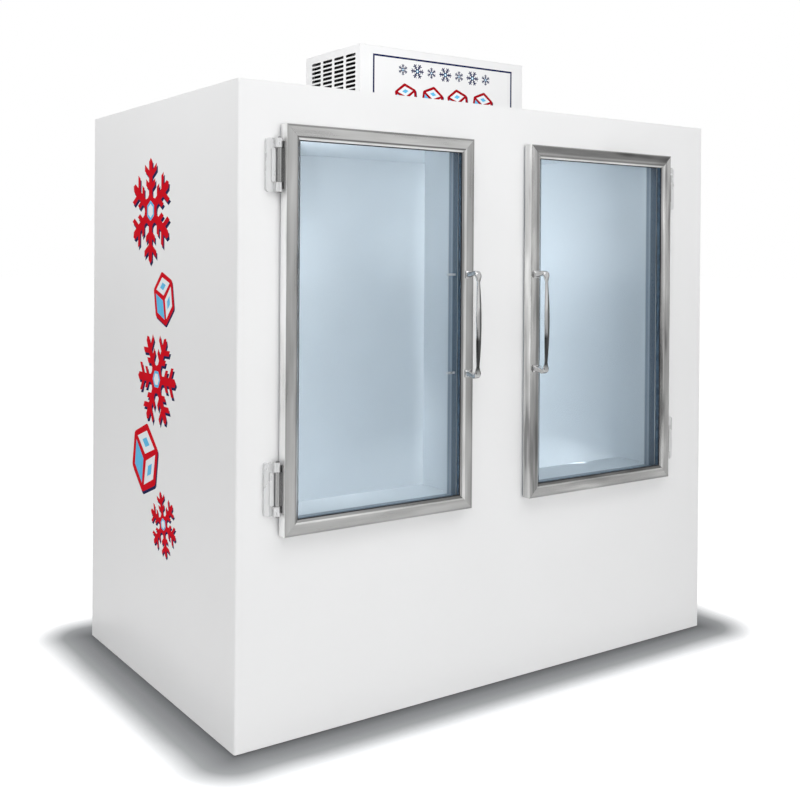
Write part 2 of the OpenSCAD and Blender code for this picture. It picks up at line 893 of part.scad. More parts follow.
// Sealed compressor: a drum with a domed lid on a foot plate
module compressor() {
    drum_h = 120;
    plate = [190, 150, 4];
    color("black")
    translate([comp_x, comp_y, comp_z]) {
        translate([-plate[0] / 2, -plate[1] / 2, 0]) cube(plate);
        translate([0, 0, plate[2]]) cylinder(r = comp_r, h = drum_h);
        translate([0, 0, plate[2] + drum_h - 20])
            intersection() {
                sphere(comp_r + 4);
                cylinder(r = comp_r, h = comp_r - 16);
            }
        for (x = [-70, 70], y = [-55, 55])
            translate([x, y, -comp_feet + gap]) cylinder(r = 13, h = comp_feet - gap);
    }
}

// Condenser just inside the left louvres, tubes along Y
module condenser_coil() {
    fins = 34;
    fin_t = 1.4;
    x0 = unit_x + 18;
    coil_d = 44;
    y0 = unit_y + 24;
    coil_w = unit_d - 60;
    z0 = unit_z + base_t + gap;
    coil_h = 268;
    step = (coil_w - fin_t) / (fins - 1);
    color("darkslategray") {
        for (i = [0 : fins - 1])
            translate([x0, y0 + i * step, z0]) cube([coil_d, fin_t, coil_h]);
        for (x = [11, 33], z = [22 : 32 : coil_h - 14])
            translate([x0 + x, y0 - 8, z0 + z]) rod_y(5, coil_w + 16);
    }
}

// Plate with a round duct behind the condenser
module fan_shroud() {
    x0 = unit_x + 66;
    plate_t = 2;
    duct_l = 34;
    color("darkgray")
    difference() {
        union() {
            span([x0, unit_y + 16, unit_z + base_t + gap],
                 [x0 + plate_t, unit_y + unit_d - 24, unit_z + 284]);
            translate([x0, fan_y, fan_z]) rod_x(fan_r + 8, duct_l);
        }
        translate([x0 - cut, fan_y, fan_z]) rod_x(fan_r + 5, duct_l + 2 * cut);
        for (p = [[line_y + line_gap, liquid_z], [hot_y, hot_z]])
            translate([x0 - cut, p[0], p[1]]) rod_x(liquid_r + line_clear, 2 * plate_t);
    }
}

// Motor on a three-legged stand on the base
module condenser_motor() {
    x0 = fan_x + 30;
    motor_l = 74;
    color("dimgray")
    difference() {
        union() {
            translate([x0, fan_y, fan_z]) rod_x(40, motor_l);
            span([x0 + 20, fan_y - 30, unit_z + base_t + gap], [x0 + 26, fan_y + 30, fan_z]);
            span([x0 + 4, fan_y - 40, unit_z + base_t + gap],
                 [x0 + 60, fan_y + 40, unit_z + base_t + 4]);
        }
        translate([x0 - cut, fan_y, fan_z]) rod_x(shaft_r + run_clear, 51);
    }
}

module condenser_fan() {
    color("silver")
    translate([fan_x, fan_y, fan_z]) rotate([0, 90, 0]) fan(fan_r, 5, 26, 72);
}

// ---------------------------------------------------------------- refrigerant lines

// The holes for both lines, at the housing or where x says
module line_holes(z, h, x = riser_x) {
    translate([x, line_y, z]) cylinder(r = suction_r + line_clear, h = h);
    translate([x, line_y + line_gap, z]) cylinder(r = liquid_r + line_clear, h = h);
}

// From inside the housing down into the roof, along it, and down into the evaporator
module line_run(r, y, z_high) {
    z_low = evap_z + evap_h - 30;
    z_roof = ceil_z + 46;
    translate([line_x, y, z_low]) cylinder(r = r, h = z_roof - z_low);
    translate([line_x, y, z_roof]) sphere(r);
    translate([line_x, y, z_roof]) rod_x(r, riser_x - line_x);
    translate([riser_x, y, z_roof]) sphere(r);
    translate([riser_x, y, z_roof]) cylinder(r = r, h = z_high - z_roof);
    translate([riser_x, y, z_high]) sphere(r);
}

module refrigerant_lines() {
    coil_face = unit_x + 62 + gap;
    liquid_y = line_y + line_gap;
    shell_x = comp_x - comp_r - gap;
    color("peru") {
        // cold gas back to the compressor
        line_run(suction_r, line_y, suction_z);
        translate([riser_x, line_y, suction_z]) rod_x(suction_r, shell_x - riser_x);
        // liquid from the condenser
        line_run(liquid_r, liquid_y, liquid_z);
        translate([coil_face, liquid_y, liquid_z]) rod_x(liquid_r, riser_x - coil_face);
        // hot gas from the compressor to the condenser
        translate([coil_face, hot_y, hot_z]) rod_x(liquid_r, comp_x - coil_face);
        translate([comp_x, hot_y, hot_z]) sphere(liquid_r);
        translate([comp_x, hot_y, hot_z]) rod_y(liquid_r, comp_y - comp_r - gap - hot_y);
    }
}

// ---------------------------------------------------------------- controls

// Box beside the housing, hollow, with holes for the knob, the switch and the inlet
module control_box() {
    wall = 1.5;
    color("gainsboro")
    difference() {
        span([box_x, box_y, box_z + gap], [box_x + box_w, box_y + box_d, box_z + box_h]);
        span([box_x + wall, box_y + wall, box_z + gap + wall],
             [box_x + box_w - wall, box_y + box_d - wall, box_z + box_h - wall]);
        translate([knob_x, box_y - cut, knob_z]) rod_y(knob_shaft_r + run_clear, wall + 2 * cut);
        span([switch_x - 7.5, box_y - cut, switch_z - 12.5],
             [switch_x + 7.5, box_y + wall + cut, switch_z + 12.5]);
        translate([box_x + box_w - wall - cut, inlet_y, inlet_z]) rod_x(10.2, wall + 2 * cut);
    }
}

// Round knob with a flat pointer ridge and a shaft into the box
module thermostat_knob() {
    knob_r = 16;
    color("black")
    translate([knob_x, box_y - 0.5, knob_z]) {
        rotate([90, 0, 0]) cylinder(r = knob_r, h = 8);
        rotate([90, 0, 0]) cylinder(r = knob_r - 3, h = 15);
        translate([-2, -17, 0]) cube([4, 12, knob_r - 4]);
        rod_y(knob_shaft_r, 16);
    }
}

// Rocker that tilts about a pin through its middle, drawn with its upper half out
module power_switch() {
    tilt = 10;
    half = 10.5;
    color("black")
    translate([switch_x, box_y + 2, switch_z]) rotate([0, 90, 0]) rotate([0, 0, tilt]) {
        linear_extrude(13, center = true)
            polygon([[-half, 3], [half, 3], [half, -3.5], [0, -5.5], [-half, -3.5]]);
        cylinder(r = 1.5, h = 14.6, center = true);
    }
}

// Cord gland: a nut outside the box and a threaded stub through its wall
module power_inlet() {
    bore_r = 5;
    x0 = box_x + box_w;
    color("black")
    difference() {
        union() {
            translate([x0 - 8, inlet_y, inlet_z]) rod_x(10, 10);
            translate([x0 + gap, inlet_y, inlet_z]) rotate([0, 90, 0]) cylinder(r = 14, h = 8, $fn = 6);
            translate([x0 + 8, inlet_y, inlet_z]) rod_x(9, 14);
        }
        translate([x0 - 9, inlet_y, inlet_z]) rod_x(bore_r, 40);
    }
}

front_panel();
left_side_panel();
right_side_panel();
back_panel();
top_panel();
base_pan();
skid_rails();
foam_front();
foam_sides();
foam_back();
foam_roof();
foam_floor();
inner_liner();
jamb_trims();
centre_post();
sill_ledge();
header_duct();
corner_posts();
floor_racks();
floor_drain();
light_bars();
hinge_flanges();
hinge_pins();
left_door_frame();
left_outer_pane();
left_inner_pane();
left_pane_spacer();
left_glazing_strip();
left_door_gasket();
left_handle();
left_hinge_leaves();
right_door_frame();
right_outer_pane();
right_inner_pane();
right_pane_spacer();
right_glazing_strip();
right_door_gasket();
right_handle();
right_hinge_leaves();
evaporator_housing();
evaporator_coil();
evaporator_motors();
evaporator_guards();
evaporator_fan_left();
evaporator_fan_right();
unit_base();
housing_cover();
louvre_panels();
sign_panel();
compressor();
condenser_coil();
fan_shroud();
condenser_motor();
condenser_fan();
refrigerant_lines();
control_box();
thermostat_knob();
power_switch();
power_inlet();
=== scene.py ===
import json
import math

import bmesh
import bpy
from mathutils import Matrix, Vector
from mathutils.geometry import delaunay_2d_cdt


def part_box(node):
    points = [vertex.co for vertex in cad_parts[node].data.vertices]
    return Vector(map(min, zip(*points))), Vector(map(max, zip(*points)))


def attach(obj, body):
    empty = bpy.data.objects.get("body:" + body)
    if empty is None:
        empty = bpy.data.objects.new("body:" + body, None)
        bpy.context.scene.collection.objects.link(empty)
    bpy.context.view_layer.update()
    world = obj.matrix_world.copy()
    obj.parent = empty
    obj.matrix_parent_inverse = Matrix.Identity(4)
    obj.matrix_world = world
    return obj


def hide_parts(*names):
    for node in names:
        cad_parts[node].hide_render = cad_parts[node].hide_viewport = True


# A two-door ice merchandiser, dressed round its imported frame.
# Metres, +Z up, the doors face -Y, x to the right as seen from the front.

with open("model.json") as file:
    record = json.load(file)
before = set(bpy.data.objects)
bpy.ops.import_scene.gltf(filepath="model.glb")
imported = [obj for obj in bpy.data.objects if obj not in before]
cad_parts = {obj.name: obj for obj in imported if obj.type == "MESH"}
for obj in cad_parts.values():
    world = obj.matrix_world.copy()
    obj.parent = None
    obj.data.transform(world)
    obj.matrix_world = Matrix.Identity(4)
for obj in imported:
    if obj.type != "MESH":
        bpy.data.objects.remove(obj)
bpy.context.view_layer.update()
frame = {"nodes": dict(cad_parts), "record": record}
nodes = frame["nodes"]

MM = 0.001
FULL_TURN = 6.2832


# ------------------------------------------------------------------ camera

EYE = (-2.22203, -3.19604, 1.33554)
YAW, PITCH, ROLL = 35.0343, -0.2591, 0.4030      # degrees: right of +Y, upwards, clockwise
FOCAL_PIXELS = 1091.26
IMAGE_PIXELS = 800
AXIS_PIXEL = (407.504, 262.207)                  # where the optical axis meets the image


def make_camera():
    yaw, pitch, roll = (math.radians(a) for a in (YAW, PITCH, ROLL))
    ahead = Vector((math.sin(yaw) * math.cos(pitch), math.cos(yaw) * math.cos(pitch), math.sin(pitch)))
    level = Vector((math.cos(yaw), -math.sin(yaw), 0))
    above = level.cross(ahead)
    right = level * math.cos(roll) + above * math.sin(roll)
    up = above * math.cos(roll) - level * math.sin(roll)
    data = bpy.data.cameras.new("camera")
    data.sensor_width = 36
    data.lens = FOCAL_PIXELS / IMAGE_PIXELS * data.sensor_width
    data.shift_x = 0.5 - AXIS_PIXEL[0] / IMAGE_PIXELS
    data.shift_y = AXIS_PIXEL[1] / IMAGE_PIXELS - 0.5
    camera = bpy.data.objects.new("camera", data)
    bpy.context.scene.collection.objects.link(camera)
    turn = Matrix((right, up, -ahead)).transposed().to_4x4()
    camera.matrix_world = Matrix.Translation(EYE) @ turn
    bpy.context.scene.camera = camera


# ------------------------------------------------------------------ node helpers

def add(tree, kind, sockets=None, **settings):
    """A shader node with its settings, and its sockets linked or set."""
    node = tree.nodes.new("ShaderNode" + kind)
    for name, value in settings.items():
        setattr(node, name, value)
    for name, value in (sockets or {}).items():
        if isinstance(value, bpy.types.NodeSocket):
            tree.links.new(value, node.inputs[name])
        else:
            node.inputs[name].default_value = value
    return node


def new_tree(name):
    """An empty material of that name, its node tree and its output node."""
    mat = bpy.data.materials.new(name)
    mat.use_nodes = True
    mat.node_tree.nodes.clear()
    return mat, mat.node_tree, add(mat.node_tree, "OutputMaterial")


def place(tree, stretch=(1, 1, 1)):
    """Coordinates in the object's own metres, stretched."""
    at = add(tree, "TexCoord").outputs["Object"]
    return add(tree, "Mapping", {"Vector": at, "Scale": stretch}).outputs["Vector"]


def noise(tree, scale, detail=2.0, stretch=(1, 1, 1), roughness=0.5):
    return add(tree, "TexNoise", {
        "Vector": place(tree, stretch), "Scale": scale, "Detail": detail, "Roughness": roughness,
    }).outputs["Fac"]


def maths(tree, operation, a, b=0.0):
    return add(tree, "Math", {0: a, 1: b}, operation=operation).outputs[0]


def between(tree, value, low, high, start=0.3, end=0.7):
    """value mapped from start..end to low..high."""
    return add(tree, "MapRange", {
        "Value": value, "From Min": start, "From Max": end, "To Min": low, "To Max": high,
    }).outputs["Result"]


def pick(tree, factor, a, b):
    """a where factor is 0, b where it is 1."""
    return add(tree, "Mix", {0: factor, 2: a, 3: b}).outputs[0]


def tones(tree, value, *stops):
    """A colour from value through stops of (position, colour)."""
    ramp = add(tree, "ValToRGB", {"Fac": value})
    points = ramp.color_ramp.elements
    while len(points) < len(stops):
        points.new(0.5)
    for point, (position, colour) in zip(points, stops):
        point.position = position
        point.color = (*colour, 1)
    return ramp.outputs["Color"]


def greys(tree, value, stops):
    """A grey from value through stops of (position, brightness)."""
    return tones(tree, value, *((position, [bright] * 3) for position, bright in stops))


def bump(tree, height, depth, normal=None):
    """A normal raised by height, depth metres high."""
    sockets = {"Height": height, "Distance": depth, "Strength": 1.0}
    if normal is not None:
        sockets["Normal"] = normal
    return add(tree, "Bump", sockets).outputs["Normal"]


def close(tree, out, shader):
    tree.links.new(shader, out.inputs["Surface"])


def shade(colour, factor):
    return tuple(c * factor for c in colour)


# ------------------------------------------------------------------ materials

def painted(name, colour, roughness=(0.28, 0.34), peel=0.000006, wave=0.0008, spread=0.015):
    """Smooth paint on sheet steel: slight orange peel and a faint waviness of the sheet."""
    mat, tree, out = new_tree(name)
    clouds = noise(tree, 2.2, 3)
    grain = noise(tree, 420, 2)
    normal = bump(tree, noise(tree, 1.6, 1), wave)
    shader = add(tree, "BsdfPrincipled", {
        "Base Color": tones(tree, clouds, (0.3, shade(colour, 1 - spread)), (0.7, colour)),
        "Roughness": between(tree, noise(tree, 5, 2), *roughness),
        "Normal": bump(tree, grain, peel, normal),
    })
    close(tree, out, shader.outputs[0])
    return mat


def moulded(name, colour, roughness=(0.4, 0.55), grain=600, depth=0.00004, spread=0.15, gloss=0.5):
    """Moulded plastic or rubber with a fine grain and slight changes of tone."""
    mat, tree, out = new_tree(name)
    fine = noise(tree, grain, 2)
    shader = add(tree, "BsdfPrincipled", {
        "Base Color": tones(tree, noise(tree, 14, 4), (0.3, shade(colour, 1 - spread)), (0.7, colour)),
        "Roughness": between(tree, noise(tree, 30, 3), *roughness),
        "Specular IOR Level": gloss,
        "Normal": bump(tree, fine, depth),
    })
    close(tree, out, shader.outputs[0])
    return mat


def polished(name, colour, roughness=(0.04, 0.12), metallic=1.0):
    """Plated or polished metal with faint smears."""
    mat, tree, out = new_tree(name)
    smears = noise(tree, 40, 4, (1, 1, 0.3))
    shader = add(tree, "BsdfPrincipled", {
        "Base Color": tones(tree, smears, (0.3, shade(colour, 0.88)), (0.7, colour)),
        "Metallic": metallic,
        "Roughness": between(tree, smears, *roughness),
        "Normal": bump(tree, noise(tree, 25, 2), 0.00006),
    })
    close(tree, out, shader.outputs[0])
    return mat


# Painted reflection across the grip of a handle, as brightness from its left edge to its right one
GRIP_PAINTED_REFLECTION_ABOVE = ((0.0, 0.70), (0.46, 0.52), (0.58, 0.15), (1.0, 0.20))
GRIP_PAINTED_REFLECTION_BELOW = ((0.0, 0.12), (0.60, 0.10), (0.80, 0.34))
GRIP_TURN = (-48 * MM, -30 * MM)                 # heights from the middle, from all below to all above
GRIP_ENDS = (132 * MM, 142 * MM)                 # distances from the middle, from the two to plain plate
GRIP_HALF = 10 * MM                              # of its width


def chrome_with_painted_reflection(name, x, z):
    """Chrome of a bow handle about that x and z, with a painted reflection: a pale streak down the grip,
    dark beside and below it.
    """
    mat, tree, out = new_tree(name)
    smears = noise(tree, 40, 4, (1, 1, 0.3))
    at = add(tree, "SeparateXYZ", {"Vector": place(tree)}).outputs
    sway = maths(tree, "MULTIPLY", maths(tree, "SUBTRACT", smears, 0.5), GRIP_HALF / 2)
    across = maths(tree, "ADD", maths(tree, "SUBTRACT", at[0], x), sway)
    share = between(tree, across, 0.0, 1.0, -GRIP_HALF, GRIP_HALF)
    # painted reflection across the grip: a pale streak with dark beside it above, and dark below
    above, below = (greys(tree, share, stops) for stops in (GRIP_PAINTED_REFLECTION_ABOVE, GRIP_PAINTED_REFLECTION_BELOW))
    height = maths(tree, "SUBTRACT", at[2], z)
    grip = pick(tree, between(tree, height, 1.0, 0.0, *GRIP_TURN), above, below)
    ends = between(tree, maths(tree, "ABSOLUTE", height), 0.0, 1.0, *GRIP_ENDS)
    shader = add(tree, "BsdfPrincipled", {
        "Base Color": pick(tree, ends, grip, between(tree, smears, 0.44, 0.58)),
        "Metallic": 1.0,
        "Roughness": between(tree, smears, 0.06, 0.13),
        "Normal": bump(tree, noise(tree, 25, 2), 0.00006),
    })
    close(tree, out, shader.outputs[0])
    return mat


def galvanised(name, dark, light):
    """Zinc coat with its crystal spangle."""
    mat, tree, out = new_tree(name)
    cells = add(tree, "TexVoronoi", {"Vector": place(tree), "Scale": 70.0, "Randomness": 1.0})
    level = add(tree, "SeparateColor", {"Color": cells.outputs["Color"]}).outputs[0]
    mottled = maths(tree, "ADD", maths(tree, "MULTIPLY", level, 0.6),
                    maths(tree, "MULTIPLY", noise(tree, 12, 4), 0.4))
    shader = add(tree, "BsdfPrincipled", {
        "Base Color": tones(tree, mottled, (0.15, dark), (0.85, light)),
        "Metallic": 0.85,
        "Roughness": between(tree, mottled, 0.34, 0.52, 0.1, 0.9),
        "Normal": bump(tree, level, 0.00003),
    })
    close(tree, out, shader.outputs[0])
    return mat


# How far the streaks of brushed steel are stretched along a rail, and squeezed across it; the broad
# streaks also stand as painted reflection bands
FINE_STREAKS = (0.5, 160)
BROAD_STREAKS = (0.7, 6)


def streaks(tree, upright, scale, detail, along_across):
    """Noise drawn out along the rails: along z where upright is 1, along x elsewhere."""
    along, across = along_across
    level = noise(tree, scale, detail, (along, across, across))
    standing = noise(tree, scale, detail, (across, across, along))
    return pick(tree, upright, level, standing)


def steel_with_painted_light(name, node, stops, roughness, wave, rails):
    """Brushed stainless of a door frame: the grain follows each rail and turns at the mitres.

    rails gives for the left, right, lower and upper rail its painted highlights and shade, from its outer
    edge to the glass, as stops of (share of the width, brightness).
    """
    mat, tree, out = new_tree(name)
    low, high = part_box(node)
    mid, half = (low + high) / 2, (high - low) / 2
    at = add(tree, "SeparateXYZ", {"Vector": place(tree)}).outputs
    from_x, from_z = (maths(tree, "SUBTRACT", at[k], mid[k]) for k in (0, 2))
    in_x = maths(tree, "SUBTRACT", half.x, maths(tree, "ABSOLUTE", from_x))
    in_z = maths(tree, "SUBTRACT", half.z, maths(tree, "ABSOLUTE", from_z))
    upright = maths(tree, "LESS_THAN", in_x, in_z)
    fine = streaks(tree, upright, 9, 4, FINE_STREAKS)
    broad = streaks(tree, upright, 5, 2, BROAD_STREAKS)
    level = maths(tree, "ADD", maths(tree, "MULTIPLY", fine, 0.2), maths(tree, "MULTIPLY", broad, 0.8))
    inwards = maths(tree, "DIVIDE", maths(tree, "MINIMUM", in_x, in_z), RAIL_WIDE)
    # painted highlights and shade across each rail, multiplied into the streak tones below
    left, right, lower, upper = (greys(tree, inwards, stops_across) for stops_across in rails)
    share = pick(tree, upright,
                 pick(tree, maths(tree, "GREATER_THAN", from_z, 0.0), lower, upper),
                 pick(tree, maths(tree, "GREATER_THAN", from_x, 0.0), left, right))
    lit = add(tree, "Mix", {"Factor": 1.0, 6: tones(tree, level, *stops), 7: share},
              data_type="RGBA", blend_type="MULTIPLY").outputs[2]
    shader = add(tree, "BsdfPrincipled", {
        "Base Color": lit,
        "Metallic": 1.0,
        "Roughness": between(tree, level, *roughness),
        "Normal": bump(tree, fine, 0.00003, bump(tree, broad, wave)),
    })
    close(tree, out, shader.outputs[0])
    return mat


def jamb_plastic(name, node, strips):
    """Jamb in strips, as stops of (share of its depth from the door inwards, colour); a pale strip is a
    painted light line and a mid one painted shade.
    """
    mat, tree, out = new_tree(name)
    low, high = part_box(node)
    deep = add(tree, "MapRange", {
        "Value": add(tree, "SeparateXYZ", {"Vector": place(tree)}).outputs[1],
        "From Min": low.y, "From Max": high.y, "To Min": 0.0, "To Max": 1.0,
    }).outputs["Result"]
    uneven = maths(tree, "MULTIPLY", maths(tree, "SUBTRACT", noise(tree, 14, 4), 0.5), 0.02)
    shader = add(tree, "BsdfPrincipled", {
        "Base Color": tones(tree, maths(tree, "ADD", deep, uneven), *strips),
        "Roughness": between(tree, noise(tree, 30, 3), 0.4, 0.52),
        "Normal": bump(tree, noise(tree, 600, 2), 0.00002),
    })
    close(tree, out, shader.outputs[0])
    return mat


def clear_glass(name, tint):
    """Flat glass: clear with a faint tint, and a mirror only at a low angle."""
    mat, tree, out = new_tree(name)
    smears = noise(tree, 6, 4)
    mirror = add(tree, "BsdfAnisotropic", {"Color": (0.9, 0.95, 1.0, 1),
                                           "Roughness": between(tree, smears, 0.0, 0.03)})
    through = add(tree, "BsdfTransparent", {
        "Color": tones(tree, smears, (0.3, tint), (0.7, shade(tint, 0.99))),
    })
    slant = add(tree, "LayerWeight", {"Blend": 0.5}).outputs["Facing"]
    share = maths(tree, "ADD", maths(tree, "MULTIPLY", maths(tree, "POWER", slant, 5.0), 0.6), 0.012)
    shader = add(tree, "MixShader", {0: share, 1: through.outputs[0], 2: mirror.outputs[0]})
    close(tree, out, shader.outputs[0])
    return mat


def light_cover(name, colour, strength):
    """Ribbed white cover, lit from inside."""
    mat, tree, out = new_tree(name)
    ribs = add(tree, "TexWave", {"Vector": place(tree), "Scale": 60.0, "Distortion": 0.0},
               bands_direction="X").outputs["Fac"]
    shader = add(tree, "BsdfPrincipled", {
        "Base Color": tones(tree, ribs, (0.0, shade(colour, 0.85)), (1.0, colour)),
        "Roughness": 0.35,
        "Emission Color": (*colour, 1),
        "Emission Strength": strength,
        "Normal": bump(tree, ribs, 0.0002),
    })
    close(tree, out, shader.outputs[0])
    return mat


def foamed(name, colour):
    """Rigid foam: open pores over a cloudy cream."""
    mat, tree, out = new_tree(name)
    pores = add(tree, "TexVoronoi", {"Vector": place(tree), "Scale": 500.0}).outputs["Distance"]
    shader = add(tree, "BsdfPrincipled", {
        "Base Color": tones(tree, noise(tree, 8, 5), (0.3, shade(colour, 0.82)), (0.7, colour)),
        "Roughness": between(tree, pores, 0.8, 0.95, 0.0, 1.0),
        "Normal": bump(tree, pores, 0.0004),
    })
    close(tree, out, shader.outputs[0])
    return mat


def finned(name, dark, light, axis, pitch):
    """Thin metal fins and tubes with dust in the gaps, one about every two pitches along axis."""
    mat, tree, out = new_tree(name)
    rows = add(tree, "TexWave", {"Vector": place(tree), "Scale": 1 / pitch / FULL_TURN, "Distortion": 0.0},
               bands_direction=axis).outputs["Fac"]
    dusty = maths(tree, "ADD", maths(tree, "MULTIPLY", rows, 0.3),
                  maths(tree, "MULTIPLY", noise(tree, 30, 5), 0.7))
    shader = add(tree, "BsdfPrincipled", {
        "Base Color": tones(tree, dusty, (0.25, dark), (0.75, light)),
        "Metallic": 0.7,
        "Roughness": between(tree, dusty, 0.4, 0.7),
        "Normal": bump(tree, noise(tree, 200, 3), 0.0001),
    })
    close(tree, out, shader.outputs[0])
    return mat


ENAMEL = (0.87, 0.872, 0.875)
SLATE = (0.078, 0.115, 0.158)
LINING = (0.672, 0.716, 0.750)
# A pale strip painted as a line of light and a mid strip painted as shade, between the jamb's slate and
# the lining
PAINTED_HIGHLIGHT_SLATE, PAINTED_SHADE_SLATE = (0.30, 0.36, 0.42), (0.21, 0.26, 0.31)
JAMB_STRIPS_WITH_PAINTED_LIGHT = ((0.0, SLATE), (0.36, SLATE), (0.40, PAINTED_HIGHLIGHT_SLATE), (0.50, PAINTED_HIGHLIGHT_SLATE), (0.54, PAINTED_SHADE_SLATE),
               (0.68, PAINTED_SHADE_SLATE), (0.76, LINING))
RAIL_WIDE = 42 * MM                              # of the door frames
# Streak tones of the door frames: brushing grain, and broad bands that are painted reflection; the right
# frame's wider range paints a more mirror-like look
LEFT_GRAIN_AND_PAINTED_REFLECTION = ((0.30, (0.36, 0.36, 0.355)), (0.5, (0.48, 0.48, 0.475)), (0.70, (0.62, 0.62, 0.615)))
RIGHT_GRAIN_AND_PAINTED_REFLECTION = ((0.34, (0.20, 0.20, 0.20)), (0.46, (0.46, 0.46, 0.455)), (0.55, (0.52, 0.52, 0.515)),
                (0.66, (0.74, 0.74, 0.73)))
# Painted highlights and shade across each rail, as brightness from its outer edge to the glass: left,
# right, lower, upper
LEFT_RAIL_PAINTED_LIGHT = (
    ((0.0, 2.0), (0.03, 0.80), (0.08, 0.80), (0.14, 0.88), (0.70, 0.92), (0.76, 0.62), (0.82, 0.62),
     (0.88, 2.1)),
    ((0.0, 1.4), (0.04, 0.66), (0.14, 0.66), (0.20, 0.8), (0.66, 0.82), (0.72, 1.4), (0.86, 1.4),
     (0.93, 0.5), (1.0, 0.9)),
    ((0.0, 1.2), (0.03, 0.70), (0.10, 0.70), (0.16, 0.88), (0.70, 0.88), (0.74, 1.2), (0.80, 1.2),
     (0.86, 0.35)),
    ((0.0, 1.2), (0.03, 0.6), (0.12, 0.6), (0.18, 1.12), (0.72, 1.12), (0.78, 0.35), (0.84, 0.35),
     (0.90, 1.5)),
)
RIGHT_RAIL_PAINTED_LIGHT = (
    ((0.0, 1.4), (0.03, 0.9), (0.22, 0.85), (0.48, 0.8), (0.56, 0.55), (0.70, 0.55), (0.80, 0.8),
     (0.88, 2.0)),
    ((0.0, 1.6), (0.05, 0.95), (0.30, 0.92), (0.60, 0.92), (0.70, 1.25), (0.86, 1.25), (0.92, 0.65),
     (1.0, 0.9)),
    ((0.0, 1.2), (0.03, 0.65), (0.10, 0.65), (0.16, 0.82), (0.70, 0.9), (0.74, 1.2), (0.80, 1.2),
     (0.86, 0.35)),
    ((0.0, 1.3), (0.04, 0.7), (0.12, 0.38), (0.56, 0.38), (0.64, 0.62), (0.74, 0.62), (0.79, 0.40),
     (0.84, 0.40), (0.90, 1.4)),
)

MATERIALS = {
    "white_enamel": painted("white_enamel", ENAMEL),
    "lining": painted("lining", LINING, (0.38, 0.5), 0.00001, 0.0005),
    "galvanised": galvanised("galvanised", (0.36, 0.37, 0.38), (0.62, 0.63, 0.64)),
    "foam": foamed("foam", (0.82, 0.74, 0.48)),
    "slate_plastic": jamb_plastic("slate_plastic", "jamb_trims", JAMB_STRIPS_WITH_PAINTED_LIGHT),
    "slate_rubber": moulded("slate_rubber", (0.078, 0.125, 0.18), (0.5, 0.7)),
    "chrome": polished("chrome", (0.50, 0.505, 0.51), (0.06, 0.13)),
    "clear_glass": clear_glass("clear_glass", (0.985, 0.995, 1.0)),
    "black_rubber": moulded("black_rubber", (0.014, 0.015, 0.017), (0.5, 0.7)),
    "spacer_metal": galvanised("spacer_metal", (0.055, 0.090, 0.130), (0.11, 0.17, 0.235)),
    "coil_metal": finned("coil_metal", (0.35, 0.36, 0.37), (0.65, 0.66, 0.67), "X", 0.013),
    "black_plastic": moulded("black_plastic", (0.012, 0.012, 0.013), (0.35, 0.5)),
    "black_metal": painted("black_metal", (0.015, 0.015, 0.016), (0.3, 0.45)),
    "copper": polished("copper", (0.72, 0.33, 0.19), (0.2, 0.38)),
    "white_plastic": moulded("white_plastic", (0.78, 0.79, 0.8), (0.35, 0.5), spread=0.05),
    "rack_plastic": moulded("rack_plastic", (0.55, 0.62, 0.68), (0.4, 0.55), spread=0.08),
    "light_lens": light_cover("light_lens", (0.88, 0.95, 1.0), 1.0),
    "left_steel_painted_light": steel_with_painted_light("left_steel_painted_light", "left_door_frame", LEFT_GRAIN_AND_PAINTED_REFLECTION, (0.24, 0.36), 0.0006,
                              LEFT_RAIL_PAINTED_LIGHT),
    "right_steel_painted_light": steel_with_painted_light("right_steel_painted_light", "right_door_frame", RIGHT_GRAIN_AND_PAINTED_REFLECTION, (0.12, 0.26), 0.0012,
                               RIGHT_RAIL_PAINTED_LIGHT),
    "cast_plate": polished("cast_plate", (0.74, 0.745, 0.75), (0.24, 0.34), 0.35),
    # Hinge knuckles a darker grey than the plate
    "grey_knuckle": polished("grey_knuckle", (0.42, 0.42, 0.42), (0.16, 0.26)),
    "dark_pin": polished("dark_pin", (0.22, 0.22, 0.22), (0.2, 0.3)),
    # Condenser coil, fan and shroud nearly black as painted shade, so that the louvre slots read dark
    "shade_black_fins": finned("shade_black_fins", (0.004, 0.004, 0.005), (0.022, 0.022, 0.024), "Y", 0.009),
    "shade_black_metal": painted("shade_black_metal", (0.02, 0.02, 0.022), (0.5, 0.7)),
}

# Nodes whose finish isn't just that of their slot
OWN_FINISH = {
    "left_door_frame": "left_steel_painted_light",
    "right_door_frame": "right_steel_painted_light",
    "hinge_flanges": "cast_plate",
    "left_hinge_leaves": "grey_knuckle",
    "right_hinge_leaves": "grey_knuckle",
    "hinge_pins": "dark_pin",
    "left_door_gasket": "slate_rubber",
    "right_door_gasket": "slate_rubber",
    # painted shade: the parts behind the louvres nearly black
    "condenser_coil": "shade_black_fins",
    "fan_shroud": "shade_black_metal",
    "condenser_fan": "shade_black_metal",
}


def dress_nodes():
    for part in frame["record"]["subparts"]:
        mesh = nodes[part["node"]].data
        mesh.materials.clear()
        mesh.materials.append(MATERIALS[OWN_FINISH.get(part["node"], part["material_slot"])])


# ------------------------------------------------------------------ meshes

def mesh_object(name, bm, materials, body):
    """The piece of that name from bm, riding on body."""
    bmesh.ops.recalc_face_normals(bm, faces=bm.faces)
    mesh = bpy.data.meshes.new(name)
    bm.to_mesh(mesh)
    bm.free()
    for mat in materials:
        mesh.materials.append(mat)
    piece = bpy.data.objects.new(name, mesh)
    bpy.context.scene.collection.objects.link(piece)
    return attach(piece, body)


class Face:
    """A flat face of the cabinet to put things on: u to the right, v up, out towards the eye."""

    def __init__(self, origin, right, out):
        self.origin, self.right, self.out = Vector(origin), Vector(right), Vector(out)
        self.up = Vector((0, 0, 1))

    def at(self, u, v):
        return self.origin + self.right * u + self.up * v


